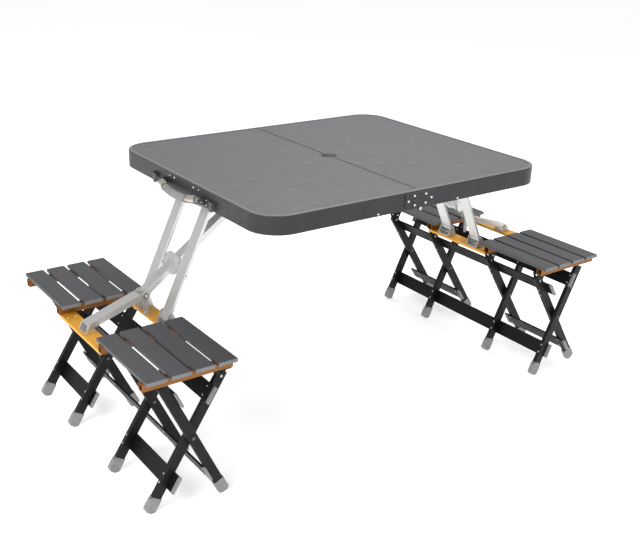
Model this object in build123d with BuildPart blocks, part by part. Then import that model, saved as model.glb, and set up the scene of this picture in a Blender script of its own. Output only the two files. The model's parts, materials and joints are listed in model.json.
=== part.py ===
"""Folding suitcase picnic table: two hinged tray halves, each with a fold-out bench of two slatted seats."""

from build123d import *
import os
from math import atan2, cos, degrees, hypot, radians, sin

# ---- Driving dimensions, millimetres. X runs along the table, Y across it, Z up from the ground. ----
TABLE_LENGTH = 866
TABLE_WIDTH = 732
TABLE_HEIGHT = 660
RIM_DEPTH = 45
RIM_WALL = 3
RIM_LIP = 1
LIP_WIDTH = 9
CORNER_RADIUS = 75
EDGE_RADIUS = 3
PANEL_THICKNESS = 3
SEAM_HALF_GAP = 0.3

UMBRELLA_BORE_RADIUS = 20
UMBRELLA_SLEEVE_WALL = 2
UMBRELLA_FLANGE_RADIUS = 27
UMBRELLA_FLANGE_THICKNESS = 1.4
UMBRELLA_SLEEVE_DEPTH = 15
LEDGE_WIDTH = 8
LEDGE_THICKNESS = 2
FITTING_GAP = 0.2

SEAT_HEIGHT = 351
SEAT_INNER_X = 500
SEAT_OUTER_X = 720
SEAT_INNER_Y = 102
SEAT_OUTER_Y = 360
SLAT_COUNT = 4
SLAT_WIDTH = 48
SLAT_THICKNESS = 9
CROSS_RAIL_WIDTH = 18
CROSS_RAIL_WALL = 1.5
RAIL_TOP = 323.4
RAIL_THICKNESS = 8
RAIL_HALF_LENGTH = 124
INNER_RAIL_X = (502, 544)
OUTER_RAIL_X = (681, 721)

POST_INNER_Y = 42.5
POST_WIDTH = 38.8
POST_THICKNESS = 7.3
POST_WALL = 1.2
POST_LEAN = 0.46
POST_TOP_Z = 641
POST_FOOT_Z = 346
POST_REFERENCE = (-398.3, 611.9)

LEG_WIDTH = 24
LEG_THICKNESS = 12
LEG_WALL = 1.5
LEG_PAIR_Y = (133, 326)
LEG_STAGGER = 8
OUTER_LEG_TOP = (-523, 297)
OUTER_LEG_FOOT = (-714, 0)
INNER_LEG_TOP_Z = 300
INNER_LEG_FOOT = (-525, 0)
LEG_CROSSING_Z = 170
STRETCHER_WIDTH = 40
STRETCHER_THICKNESS = 5
STRETCHER_WALL = 1.2
STRETCHER_GAP = 0.5
FOOT_LENGTH = 38
FOOT_WIDTH = 27
FOOT_THICKNESS = 14.6
FOOT_ROUNDING = 9
FOOT_FLAT = 0.9

ELBOW = (-554, 386)
ARM_FOOT = (-699, 337)
BRACE_ANGLE = 35.6
BRACE_LENGTH = 350
CHANNEL_WALL = 1.5
ARM_HALF_WIDTH = 17
BRACE_HALF_WIDTH = 15

PIN_RADIUS = 4
BOLT_RADIUS = 3
RUNNING_CLEARANCE = 0.05

RIM_BOTTOM = TABLE_HEIGHT - RIM_DEPTH
PANEL_TOP = TABLE_HEIGHT - RIM_LIP
PANEL_BOTTOM = PANEL_TOP - PANEL_THICKNESS
END_X = TABLE_LENGTH / 2
SIDE_Y = TABLE_WIDTH / 2

os.makedirs("parts", exist_ok=True)


# ---- Small geometry helpers. Points are (x, z) pairs in a plane across the table's width. ----
def post_x(z):
    """Middle plane of the leaning support posts at height z."""
    return POST_REFERENCE[0] + POST_LEAN * (z - POST_REFERENCE[1])


def unit(start, end):
    """Unit vector from start to end."""
    length = hypot(end[0] - start[0], end[1] - start[1])
    return ((end[0] - start[0]) / length, (end[1] - start[1]) / length)


def along(start, end, distance, offset=0.0):
    """Point at a distance from start towards end, moved sideways to the left by offset."""
    ux, uz = unit(start, end)
    return (start[0] + ux * distance - uz * offset, start[1] + uz * distance + ux * offset)


def strip(start, end, first, last, low, high):
    """Corners of a straight strip between two distances and two sideways offsets."""
    return [
        along(start, end, first, low),
        along(start, end, last, low),
        along(start, end, last, high),
        along(start, end, first, high),
    ]


def across(y_high):
    """Sketch plane at y_high whose sketches extrude towards -Y."""
    return Plane.XZ.offset(-y_high)


def slab(corners, y_low, y_high, mode=Mode.ADD):
    """Prism of a polygon between two widths."""
    with BuildSketch(across(y_high)) as outline:
        Polygon(*corners, align=None)
    extrude(outline.sketch, amount=y_high - y_low, mode=mode)


def rod(centre, radius, y_low, y_high, mode=Mode.ADD):
    """Round bar, or a drilled hole, across the width."""
    with BuildSketch(across(y_high)) as outline:
        with Locations(centre):
            Circle(radius)
    extrude(outline.sketch, amount=y_high - y_low, mode=mode)


def drill(centre, radius, y_low, y_high):
    """Running-fit hole for a pin across the width."""
    rod(centre, radius + RUNNING_CLEARANCE, y_low, y_high, Mode.SUBTRACT)


def box_between(low, high, mode=Mode.ADD):
    """Block from its lowest corner to its highest corner."""
    with BuildSketch(Plane.XY.offset(low[2])) as outline:
        with Locations(((low[0] + high[0]) / 2, (low[1] + high[1]) / 2)):
            Rectangle(high[0] - low[0], high[1] - low[1])
    extrude(outline.sketch, amount=high[2] - low[2], mode=mode)


def tube_plane(start, end, y, distance=0.0):
    """Plane square to the line from start to end, its X along +Y and its Y on the line's left."""
    ux, uz = unit(start, end)
    x, z = along(start, end, distance)
    return Plane(origin=(x, y, z), x_dir=(0, 1, 0), z_dir=(ux, 0, uz))


def save(piece, name):
    """Label one finished piece and write its STEP file."""
    piece.part.label = name
    export_step(piece.part, f"parts/{name}.step")


def save_pair(piece, name):
    """Write a left-hand piece and its mirror image on the right-hand half."""
    save(piece, "left_" + name)
    with BuildPart() as twin:
        mirror(piece.part, about=Plane.YZ)
    save(twin, "right_" + name)


POST_TOP = (post_x(POST_TOP_Z), POST_TOP_Z)
POST_FOOT = (post_x(POST_FOOT_Z), POST_FOOT_Z)
POST_OUTER_Y = POST_INNER_Y + POST_WIDTH
POST_LENGTH = hypot(POST_TOP[0] - POST_FOOT[0], POST_TOP[1] - POST_FOOT[1])
BRACE_TIP = (
    ELBOW[0] + BRACE_LENGTH * cos(radians(BRACE_ANGLE)),
    ELBOW[1] + BRACE_LENGTH * sin(radians(BRACE_ANGLE)),
)
BRACE_PIN_DISTANCE = BRACE_LENGTH - 12
BRACE_PIN = along(ELBOW, BRACE_TIP, BRACE_PIN_DISTANCE)
OUTER_LEG_LENGTH = hypot(OUTER_LEG_TOP[0] - OUTER_LEG_FOOT[0], OUTER_LEG_TOP[1])
CROSSING_SHARE = (OUTER_LEG_TOP[1] - LEG_CROSSING_Z) / OUTER_LEG_TOP[1]
LEG_CROSSING = along(OUTER_LEG_TOP, OUTER_LEG_FOOT, OUTER_LEG_LENGTH * CROSSING_SHARE)
INNER_LEG_SLOPE = (LEG_CROSSING[0] - INNER_LEG_FOOT[0]) / LEG_CROSSING[1]
INNER_LEG_TOP = (INNER_LEG_FOOT[0] + INNER_LEG_SLOPE * INNER_LEG_TOP_Z, INNER_LEG_TOP_Z)
INNER_LEG_LENGTH = hypot(INNER_LEG_TOP[0] - INNER_LEG_FOOT[0], INNER_LEG_TOP_Z)


# ---- Tray halves ----
def half_outline(inset):
    """Rounded rectangle of the whole table, moved in by inset and cut at the seam for the left half."""
    RectangleRounded(TABLE_LENGTH - 2 * inset, TABLE_WIDTH - 2 * inset, CORNER_RADIUS - inset)
    with Locations((END_X - SEAM_HALF_GAP, 0)):
        Rectangle(TABLE_LENGTH, TABLE_WIDTH, mode=Mode.SUBTRACT)


def hollow_outline(inset):
    """The same outline, kept one wall away from the seam as well."""
    RectangleRounded(TABLE_LENGTH - 2 * inset, TABLE_WIDTH - 2 * inset, CORNER_RADIUS - inset)
    with Locations((END_X - SEAM_HALF_GAP - RIM_WALL, 0)):
        Rectangle(TABLE_LENGTH, TABLE_WIDTH, mode=Mode.SUBTRACT)


SLEEVE_RADIUS = UMBRELLA_BORE_RADIUS + UMBRELLA_SLEEVE_WALL

with BuildPart() as rim:
    with BuildSketch(Plane.XY.offset(RIM_BOTTOM)):
        half_outline(0)
    extrude(amount=RIM_DEPTH)
    top_edges = rim.faces().sort_by(Axis.Z)[-1].edges()
    fillet(top_edges.sort_by(Axis.X)[:-1], radius=EDGE_RADIUS)
    with BuildSketch(Plane.XY.offset(RIM_BOTTOM)):
        hollow_outline(RIM_WALL)
    extrude(amount=PANEL_BOTTOM - LEDGE_THICKNESS - RIM_BOTTOM, mode=Mode.SUBTRACT)
    with BuildSketch(Plane.XY.offset(PANEL_BOTTOM - LEDGE_THICKNESS)):
        hollow_outline(LIP_WIDTH + LEDGE_WIDTH)
    extrude(amount=LEDGE_THICKNESS, mode=Mode.SUBTRACT)
    with BuildSketch(Plane.XY.offset(PANEL_BOTTOM)):
        half_outline(LIP_WIDTH)
    extrude(amount=PANEL_THICKNESS + RIM_LIP, mode=Mode.SUBTRACT)
    with BuildSketch(Plane.XY.offset(RIM_BOTTOM)):
        Circle(SLEEVE_RADIUS + FITTING_GAP)
    extrude(amount=RIM_DEPTH, mode=Mode.SUBTRACT)
save_pair(rim, "rim")

with BuildPart() as top_panel:
    with BuildSketch(Plane.XY.offset(PANEL_BOTTOM)):
        half_outline(LIP_WIDTH + FITTING_GAP)
        Circle(SLEEVE_RADIUS + FITTING_GAP, mode=Mode.SUBTRACT)
    extrude(amount=PANEL_THICKNESS)
    with BuildSketch(Plane.XY.offset(PANEL_TOP - UMBRELLA_FLANGE_THICKNESS)):
        Circle(UMBRELLA_FLANGE_RADIUS + FITTING_GAP)
    extrude(amount=UMBRELLA_FLANGE_THICKNESS, mode=Mode.SUBTRACT)
save_pair(top_panel, "top_panel")

with BuildPart() as umbrella_ring:
    with BuildSketch(Plane.XY.offset(PANEL_TOP - UMBRELLA_FLANGE_THICKNESS)):
        Circle(UMBRELLA_FLANGE_RADIUS)
    extrude(amount=UMBRELLA_FLANGE_THICKNESS)
    with BuildSketch(Plane.XY.offset(PANEL_TOP - UMBRELLA_SLEEVE_DEPTH)):
        Circle(SLEEVE_RADIUS)
    extrude(amount=UMBRELLA_SLEEVE_DEPTH)
    with BuildSketch(Plane.XY.offset(PANEL_TOP - UMBRELLA_SLEEVE_DEPTH)):
        Circle(UMBRELLA_BORE_RADIUS)
    extrude(amount=UMBRELLA_SLEEVE_DEPTH, mode=Mode.SUBTRACT)
    box_between((-SEAM_HALF_GAP, -SIDE_Y, 0), (END_X, SIDE_Y, TABLE_HEIGHT), Mode.SUBTRACT)
save_pair(umbrella_ring, "umbrella_ring")

# ---- Case hinge: a plate on each end of the seam, its eye around a pin at the rims' bottom edge ----
HINGE_AXIS = (0, RIM_BOTTOM)
HINGE_PLATE_THICKNESS = 2
HINGE_PIN_RADIUS = 2.5
HINGE_EYE_RADIUS = 7
HINGE_PLATE_X = 45.5
INNER_LAYER = (SIDE_Y, SIDE_Y + HINGE_PLATE_THICKNESS)
OUTER_LAYER = (INNER_LAYER[1] + 0.1, INNER_LAYER[1] + 0.1 + HINGE_PLATE_THICKNESS)


def hinge_leaf():
    """Left-hand leaf flat on the rim, below the top edge's rounding, with cut outer corners."""
    corners = [
        (-SEAM_HALF_GAP, TABLE_HEIGHT - EDGE_RADIUS - 1),
        (-HINGE_PLATE_X, TABLE_HEIGHT - EDGE_RADIUS - 1),
        (-HINGE_PLATE_X, RIM_BOTTOM + 8),
        (-HINGE_PLATE_X + 8, RIM_BOTTOM + 0.5),
        (-SEAM_HALF_GAP, RIM_BOTTOM + 0.5),
    ]
    slab(corners, *INNER_LAYER)


with BuildPart() as left_hinge_plates:
    hinge_leaf()
    rod(HINGE_AXIS, HINGE_EYE_RADIUS + 0.6, INNER_LAYER[0], INNER_LAYER[1], Mode.SUBTRACT)
    slab([(-20, 624), (-20, 636), (-8, 640), (0, 622), (0, 613), (-6, 611)], INNER_LAYER[1], OUTER_LAYER[1])
    rod(HINGE_AXIS, HINGE_EYE_RADIUS, OUTER_LAYER[0], OUTER_LAYER[1])
    slab([(-7.7, 600), (7.7, 600), (7.7, 622.8), (-7.7, 622.8)], INNER_LAYER[1], OUTER_LAYER[0], Mode.SUBTRACT)
    drill(HINGE_AXIS, HINGE_PIN_RADIUS, OUTER_LAYER[0], OUTER_LAYER[1])
    mirror(about=Plane.XZ)
save(left_hinge_plates, "left_hinge_plates")

with BuildPart() as right_hinge_plates:
    hinge_leaf()
    rod(HINGE_AXIS, HINGE_EYE_RADIUS, *INNER_LAYER)
    drill(HINGE_AXIS, HINGE_PIN_RADIUS, *INNER_LAYER)
    mirror(about=Plane.XZ)
with BuildPart() as right_hinge_plates_in_place:
    mirror(right_hinge_plates.part, about=Plane.YZ)
save(right_hinge_plates_in_place, "right_hinge_plates")

with BuildPart() as case_hinge_pins:
    rod(HINGE_AXIS, HINGE_PIN_RADIUS, SIDE_Y + 0.2, OUTER_LAYER[1] + 0.1)
    rod(HINGE_AXIS, 4.5, OUTER_LAYER[1] + 0.1, OUTER_LAYER[1] + 1.6)
    mirror(about=Plane.XZ)
save(case_hinge_pins, "case_hinge_pins")

# ---- Brackets under the panel: a clevis for each post's top, and the hooks that hold the brace's pin ----
CHEEK = 2.6
CHEEK_GAP = 0.4
CHEEK_EYE = 9
CHEEK_HALF_BASE = 18
BRACKET_BASE = 3

with BuildPart() as support_brackets:
    x, z = POST_TOP
    for y_low in (POST_INNER_Y - CHEEK_GAP - CHEEK, POST_OUTER_Y + CHEEK_GAP):
        base = ((x - CHEEK_HALF_BASE, PANEL_BOTTOM), (x + CHEEK_HALF_BASE, PANEL_BOTTOM))
        slab([*base, (x + 8, z - 6), (x - 8, z - 6)], y_low, y_low + CHEEK)
        rod(POST_TOP, CHEEK_EYE, y_low, y_low + CHEEK)
    half = CHEEK_HALF_BASE + 4
    base_low = (x - half, POST_INNER_Y - CHEEK_GAP - CHEEK, PANEL_BOTTOM - BRACKET_BASE)
    base_high = (x + half, POST_OUTER_Y + CHEEK_GAP + CHEEK, PANEL_BOTTOM)
    box_between(base_low, base_high)
    drill(POST_TOP, PIN_RADIUS, 30, 100)
    mirror(about=Plane.XZ)
save_pair(support_brackets, "support_brackets")


def headed_pin(centre, radius, y_low, y_high, head_radius, head=1.5):
    """Pin across the width with a round head at each end."""
    rod(centre, radius, y_low, y_high)
    rod(centre, head_radius, y_low - head, y_low)
    rod(centre, head_radius, y_high, y_high + head)


PIVOT_LOW = POST_INNER_Y - CHEEK_GAP - CHEEK - 0.1
PIVOT_HIGH = POST_OUTER_Y + CHEEK_GAP + CHEEK + 0.1

with BuildPart() as support_pins:
    headed_pin(POST_TOP, PIN_RADIUS, PIVOT_LOW, PIVOT_HIGH, 6.5)
    mirror(about=Plane.XZ)
save_pair(support_pins, "support_pins")

KEEPER_Y = (ARM_HALF_WIDTH + 1.6, ARM_HALF_WIDTH + 4.6)
with BuildPart() as brace_keeper:
    x, z = BRACE_PIN
    ear = [(x - 14, PANEL_BOTTOM), (x + 14, PANEL_BOTTOM), (x + 9, z), (x + 4, z - 9), (x - 6, z - 9), (x - 9, z - 4)]
    slab(ear, *KEEPER_Y)
    mouth = strip(BRACE_PIN, (x + 10, z - 0.7), 0, 14, -PIN_RADIUS - 0.1, PIN_RADIUS + 0.1)
    slab(mouth, *KEEPER_Y, Mode.SUBTRACT)
    rod(BRACE_PIN, PIN_RADIUS + 0.1, *KEEPER_Y, Mode.SUBTRACT)
    box_between((x - 14, KEEPER_Y[0], PANEL_BOTTOM - BRACKET_BASE), (x + 14, 38, PANEL_BOTTOM))
    mirror(about=Plane.XZ)
save_pair(brace_keeper, "brace_keeper")

# ---- Support frame: two leaning posts, their tie plate and the two lobes of the oval web ----
WEB_Z = 450
WEB_THICKNESS = 3
WEB_CENTRE = (post_x(WEB_Z), WEB_Z)
WEB_HALF_WIDTH = 43.3
WEB_HALF_HEIGHT = 29
LOBE_START = ARM_HALF_WIDTH + 0.6
UP_X, UP_Z = unit(POST_FOOT, POST_TOP)
WEB_PLANE = Plane(origin=(WEB_CENTRE[0], 0, WEB_Z), x_dir=(0, -1, 0), z_dir=(-UP_Z, 0, UP_X))

with BuildPart() as support_frame:
    post_middle = (POST_INNER_Y + POST_OUTER_Y) / 2
    with BuildSketch(tube_plane(POST_TOP, POST_FOOT, post_middle, -9)) as section:
        RectangleRounded(POST_WIDTH, POST_THICKNESS, 1.5)
        Rectangle(POST_WIDTH - 2 * POST_WALL, POST_THICKNESS - 2 * POST_WALL, mode=Mode.SUBTRACT)
    extrude(amount=POST_LENGTH + 24)
    for end in (POST_TOP, POST_FOOT):
        rod(end, PIN_RADIUS + 1.2, POST_INNER_Y + 0.5, POST_OUTER_Y - 0.5)
    mirror(about=Plane.XZ)
    slab(strip(POST_TOP, POST_FOOT, 24, 54, 0.6, 3.6), -POST_INNER_Y - 0.5, POST_INNER_Y + 0.5)
    with BuildSketch(WEB_PLANE):
        Ellipse(WEB_HALF_WIDTH, WEB_HALF_HEIGHT)
        Rectangle(2 * LOBE_START, 3 * WEB_HALF_HEIGHT, mode=Mode.SUBTRACT)
    extrude(amount=WEB_THICKNESS / 2, both=True)
    for end in (POST_TOP, POST_FOOT):
        drill(end, PIN_RADIUS, -100, 100)
save_pair(support_frame, "support_frame")

# ---- Lower arm: channel open downwards, from the outer rail up to the elbow bolt ----
ARM_LENGTH = hypot(ELBOW[0] - ARM_FOOT[0], ELBOW[1] - ARM_FOOT[1])
ARM_TOP = 9
ARM_SKIRT = -6
ARM_EYE = 8.5
ARM_PIN_RADIUS = 3.5

with BuildPart() as lower_arm:
    slab(strip(ARM_FOOT, ELBOW, 0, ARM_LENGTH, ARM_SKIRT, ARM_TOP), -ARM_HALF_WIDTH, ARM_HALF_WIDTH)
    for end in (ARM_FOOT, ELBOW):
        rod(end, ARM_EYE, -ARM_HALF_WIDTH, ARM_HALF_WIDTH)
    inner = ARM_HALF_WIDTH - CHANNEL_WALL
    hollow_top = ARM_TOP - CHANNEL_WALL
    slab(strip(ARM_FOOT, ELBOW, -12, ARM_LENGTH + 12, -12, hollow_top), -inner, inner, Mode.SUBTRACT)
    slab(strip(ARM_FOOT, ELBOW, ARM_LENGTH - 12, ARM_LENGTH + 12, 0, 12), -inner, inner, Mode.SUBTRACT)
    drill(ELBOW, PIN_RADIUS, -ARM_HALF_WIDTH, ARM_HALF_WIDTH)
    drill(ARM_FOOT, ARM_PIN_RADIUS, -ARM_HALF_WIDTH, ARM_HALF_WIDTH)
save_pair(lower_arm, "lower_arm")

# ---- Upper brace: channel open downwards, with the oval web's middle piece welded across it ----
BRACE_SKIRT = -6.5
BRACE_TOP = 8.5
BRACE_EYE = 8
WEB_MIDDLE_Z = (-20, 25)
WEB_NECK_TOP = 7
SLOT_HEIGHT = 50
SLOT_WIDTH = 20
EDGE_GAP = 0.5

with BuildPart() as upper_brace:
    slab(
        strip(ELBOW, BRACE_TIP, 0, BRACE_LENGTH, BRACE_SKIRT, BRACE_TOP),
        -BRACE_HALF_WIDTH,
        BRACE_HALF_WIDTH,
    )
    rod(ELBOW, BRACE_EYE, -BRACE_HALF_WIDTH, BRACE_HALF_WIDTH)
    inner = BRACE_HALF_WIDTH - CHANNEL_WALL
    hollow_top = BRACE_TOP - CHANNEL_WALL
    slab(strip(ELBOW, BRACE_TIP, -12, BRACE_LENGTH + 1, -12, hollow_top), -inner, inner, Mode.SUBTRACT)
    slab(strip(ELBOW, BRACE_TIP, -12, BRACE_EYE, 0, 12), -inner, inner, Mode.SUBTRACT)
    with BuildSketch(WEB_PLANE):
        Ellipse(WEB_HALF_WIDTH, WEB_HALF_HEIGHT)
        with Locations((0, (WEB_MIDDLE_Z[0] + WEB_MIDDLE_Z[1]) / 2)):
            Rectangle(2 * ARM_HALF_WIDTH - 0.4, WEB_MIDDLE_Z[1] - WEB_MIDDLE_Z[0], mode=Mode.INTERSECT)
        for side in (-1, 1):
            with Locations((side * (inner + EDGE_GAP + SLOT_WIDTH / 2), WEB_NECK_TOP - SLOT_HEIGHT / 2)):
                Rectangle(SLOT_WIDTH, SLOT_HEIGHT, mode=Mode.SUBTRACT)
    extrude(amount=WEB_THICKNESS / 2, both=True)
    drill(ELBOW, PIN_RADIUS, -BRACE_HALF_WIDTH, BRACE_HALF_WIDTH)
    drill(BRACE_PIN, PIN_RADIUS, -BRACE_HALF_WIDTH, BRACE_HALF_WIDTH)
save_pair(upper_brace, "upper_brace")

with BuildPart() as brace_pins:
    headed_pin(ELBOW, PIN_RADIUS, -ARM_HALF_WIDTH - 0.2, ARM_HALF_WIDTH + 0.2, 7.5, 3)
    headed_pin(BRACE_PIN, PIN_RADIUS, -KEEPER_Y[1] - 0.4, KEEPER_Y[1] + 0.4, 6)
save_pair(brace_pins, "brace_pins")


# ---- Seat frame: two rails along the bench, cross rails and slats ----
def hollow_rail(x_near, x_far):
    """Flat rectangular tube along the bench."""
    middle = -(x_near + x_far) / 2
    width = x_far - x_near
    with BuildSketch(across(RAIL_HALF_LENGTH)) as section:
        with Locations((middle, RAIL_TOP - RAIL_THICKNESS / 2)):
            RectangleRounded(width, RAIL_THICKNESS, 1.2)
            Rectangle(width - 3, RAIL_THICKNESS - 3, mode=Mode.SUBTRACT)
    extrude(section.sketch, amount=2 * RAIL_HALF_LENGTH)


with BuildPart() as inner_rail:
    hollow_rail(*INNER_RAIL_X)
save_pair(inner_rail, "inner_rail")

with BuildPart() as outer_rail:
    hollow_rail(*OUTER_RAIL_X)
save_pair(outer_rail, "outer_rail")

CROSS_RAIL_Y = (127, 335)
CROSS_RAIL_HEIGHT = SEAT_HEIGHT - SLAT_THICKNESS - RAIL_TOP

with BuildPart() as cross_rails:
    with BuildSketch(Plane.YZ.offset(-SEAT_OUTER_X - 3)):
        for y in CROSS_RAIL_Y:
            with Locations((y, RAIL_TOP + CROSS_RAIL_HEIGHT / 2)):
                Rectangle(CROSS_RAIL_WIDTH, CROSS_RAIL_HEIGHT)
                Rectangle(
                    CROSS_RAIL_WIDTH - 2 * CROSS_RAIL_WALL,
                    CROSS_RAIL_HEIGHT - 2 * CROSS_RAIL_WALL,
                    mode=Mode.SUBTRACT,
                )
    extrude(amount=SEAT_OUTER_X - SEAT_INNER_X)
    mirror(about=Plane.XZ)
save_pair(cross_rails, "cross_rails")

with BuildPart() as seat_slats:
    pitch = (SEAT_OUTER_X - SEAT_INNER_X - SLAT_WIDTH) / (SLAT_COUNT - 1)
    for i in range(SLAT_COUNT):
        middle = -(SEAT_INNER_X + SLAT_WIDTH / 2 + i * pitch)
        low = (middle - SLAT_WIDTH / 2, SEAT_INNER_Y, SEAT_HEIGHT - SLAT_THICKNESS)
        high = (middle + SLAT_WIDTH / 2, SEAT_OUTER_Y, SEAT_HEIGHT)
        box_between(low, high)
    fillet(seat_slats.edges().filter_by(Axis.Y), radius=1.2)
    mirror(about=Plane.XZ)
save_pair(seat_slats, "seat_slats")

with BuildPart() as post_clevises:
    x, z = POST_FOOT
    for y_low in (POST_INNER_Y - CHEEK_GAP - CHEEK, POST_OUTER_Y + CHEEK_GAP):
        slab([(x - 16, RAIL_TOP), (x + 16, RAIL_TOP), (x + 8, z + 4), (x - 8, z + 4)], y_low, y_low + CHEEK)
        rod(POST_FOOT, CHEEK_EYE, y_low, y_low + CHEEK)
    box_between((x - 19, PIVOT_LOW + 0.1, RAIL_TOP), (x + 16, PIVOT_HIGH - 0.1, RAIL_TOP + 2.5))
    drill(POST_FOOT, PIN_RADIUS, 30, 100)
    mirror(about=Plane.XZ)
save_pair(post_clevises, "post_clevises")

ARM_CHEEK_Y = (ARM_HALF_WIDTH + 0.5, ARM_HALF_WIDTH + 3)
with BuildPart() as arm_clevis:
    x, z = ARM_FOOT
    box_between((x - 14, -ARM_CHEEK_Y[1], RAIL_TOP), (x + 14, ARM_CHEEK_Y[1], RAIL_TOP + 2))
    for side in (-1, 1):
        y_low, y_high = sorted((side * ARM_CHEEK_Y[0], side * ARM_CHEEK_Y[1]))
        slab([(x - 14, RAIL_TOP), (x + 14, RAIL_TOP), (x + 7, z + 3), (x - 7, z + 3)], y_low, y_high)
        rod(ARM_FOOT, 7.5, y_low, y_high)
    drill(ARM_FOOT, ARM_PIN_RADIUS, -30, 30)
save_pair(arm_clevis, "arm_clevis")

EAR = 2
EAR_GAP = 0.5
BRACKET_PLATE = 2.5
RAIL_BOTTOM = RAIL_TOP - RAIL_THICKNESS
OUTER_LEG_Y = [y - LEG_STAGGER for y in LEG_PAIR_Y]
INNER_LEG_Y = [y + LEG_STAGGER for y in LEG_PAIR_Y]

with BuildPart() as leg_brackets:
    x, z = OUTER_LEG_TOP
    plate_bottom = RAIL_TOP - BRACKET_PLATE
    for y, rail_y in zip(OUTER_LEG_Y, CROSS_RAIL_Y):
        ear_y = (y - LEG_THICKNESS / 2 - EAR_GAP - EAR, y + LEG_THICKNESS / 2 + EAR_GAP)
        box_between((x - 22, ear_y[0], plate_bottom), (x + 16, rail_y + CROSS_RAIL_WIDTH / 2, RAIL_TOP))
        for y_low in ear_y:
            slab([(x - 22, RAIL_TOP), (x + 16, RAIL_TOP), (x + 6, z - 5), (x - 6, z - 5)], y_low, y_low + EAR)
            rod(OUTER_LEG_TOP, 8, y_low, y_low + EAR)
            window = [(x - 12, plate_bottom - 8), (x + 7, plate_bottom - 8), (x - 2, z + 9.5)]
            slab(window, y_low, y_low + EAR, Mode.SUBTRACT)
    rail_low = (-INNER_RAIL_X[1] - EAR_GAP, 0, RAIL_BOTTOM)
    rail_high = (-INNER_RAIL_X[0] + EAR_GAP, RAIL_HALF_LENGTH + 0.1, RAIL_TOP)
    box_between(rail_low, rail_high, Mode.SUBTRACT)
    drill(OUTER_LEG_TOP, BOLT_RADIUS, 90, 360)
    mirror(about=Plane.XZ)
save_pair(leg_brackets, "leg_brackets")

STUB_START = ARM_HALF_WIDTH - CHANNEL_WALL - 0.2

with BuildPart() as seat_pins:
    headed_pin(POST_FOOT, PIN_RADIUS, PIVOT_LOW, PIVOT_HIGH, 6.5)
    for y in OUTER_LEG_Y:
        y_low = y - LEG_THICKNESS / 2 - EAR_GAP - EAR - 0.1
        y_high = y + LEG_THICKNESS / 2 + EAR_GAP + EAR - 0.1
        rod(OUTER_LEG_TOP, BOLT_RADIUS, y_low, y_high)
        rod(OUTER_LEG_TOP, 4.4, y_low - 1.8, y_low)
    rod(ARM_FOOT, ARM_PIN_RADIUS, STUB_START, ARM_CHEEK_Y[1] + 0.1)
    rod(ARM_FOOT, 5.5, ARM_CHEEK_Y[1] + 0.1, ARM_CHEEK_Y[1] + 1.6)
    mirror(about=Plane.XZ)
save_pair(seat_pins, "seat_pins")


# ---- Crossed legs: outer legs stand outboard and hang from the inner rail, inner legs cross them ----
def leg(top, foot, y, reach, crossing):
    """Rectangular tube with holes for its pins; reach is how far it runs past its top point."""
    length = hypot(foot[0] - top[0], foot[1] - top[1])
    with BuildSketch(tube_plane(top, foot, y, -reach)) as section:
        RectangleRounded(LEG_THICKNESS, LEG_WIDTH, 1)
        Rectangle(LEG_THICKNESS - 2 * LEG_WALL, LEG_WIDTH - 2 * LEG_WALL, mode=Mode.SUBTRACT)
    extrude(section.sketch, amount=reach + length - 12)
    drill(crossing, BOLT_RADIUS, y - LEG_THICKNESS, y + LEG_THICKNESS)


def stretcher(top, foot, start, low, y_low, y_high):
    """Flat tube across the legs, start below their top point and low from their middle line."""
    high = low + STRETCHER_THICKNESS
    end = start + STRETCHER_WIDTH
    slab(strip(top, foot, start, end, low, high), y_low, y_high)
    wall = STRETCHER_WALL
    slab(strip(top, foot, start + wall, end - wall, low + wall, high - wall), y_low, y_high, Mode.SUBTRACT)


def boot(top, foot, y):
    """Moulded foot over the tube's end, with round toes and a small flat where it meets the ground."""
    length = hypot(foot[0] - top[0], foot[1] - top[1])
    ux, uz = unit(top, foot)
    toe_drop = FOOT_ROUNDING + abs(ux) * (FOOT_WIDTH / 2 - FOOT_ROUNDING)
    end = length - toe_drop / abs(uz) + FOOT_ROUNDING + FOOT_FLAT
    with BuildSketch(across(y + FOOT_THICKNESS / 2)) as outside:
        Polygon(*strip(top, foot, end - FOOT_LENGTH, end, -FOOT_WIDTH / 2, FOOT_WIDTH / 2), align=None)
        toes = outside.vertices().sort_by(Axis((top[0], 0, top[1]), (ux, 0, uz)))[-2:]
        fillet(toes, radius=FOOT_ROUNDING)
    extrude(outside.sketch, amount=FOOT_THICKNESS)
    with BuildSketch(tube_plane(top, foot, y, end - FOOT_LENGTH)) as socket:
        Rectangle(LEG_THICKNESS + 0.2, LEG_WIDTH + 0.2)
    extrude(socket.sketch, amount=length - 11.8 - end + FOOT_LENGTH, mode=Mode.SUBTRACT)


OUTER_TOP_REACH = 10
INNER_TOP_REACH = 18
FACE = LEG_WIDTH / 2 + STRETCHER_GAP
STRETCHER_OVERHANG = 22
SEAT_STRETCHER_Y = (LEG_PAIR_Y[0] - STRETCHER_OVERHANG - 5, LEG_PAIR_Y[1] + STRETCHER_OVERHANG)
LONG_HALF = LEG_PAIR_Y[1] + STRETCHER_OVERHANG

with BuildPart() as outer_legs:
    for y in OUTER_LEG_Y:
        leg(OUTER_LEG_TOP, OUTER_LEG_FOOT, y, OUTER_TOP_REACH, LEG_CROSSING)
        drill(OUTER_LEG_TOP, BOLT_RADIUS, y - LEG_THICKNESS, y + LEG_THICKNESS)
    mirror(about=Plane.XZ)
save_pair(outer_legs, "outer_legs")

with BuildPart() as inner_legs:
    for y in INNER_LEG_Y:
        leg(INNER_LEG_TOP, INNER_LEG_FOOT, y, INNER_TOP_REACH, LEG_CROSSING)
    mirror(about=Plane.XZ)
save_pair(inner_legs, "inner_legs")

OUTER_UPPER_START = 24
OUTER_LOWER_START = OUTER_LEG_LENGTH - 109
INNER_UPPER_START = 8
INNER_LOWER_START = INNER_LEG_LENGTH - 103

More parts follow.
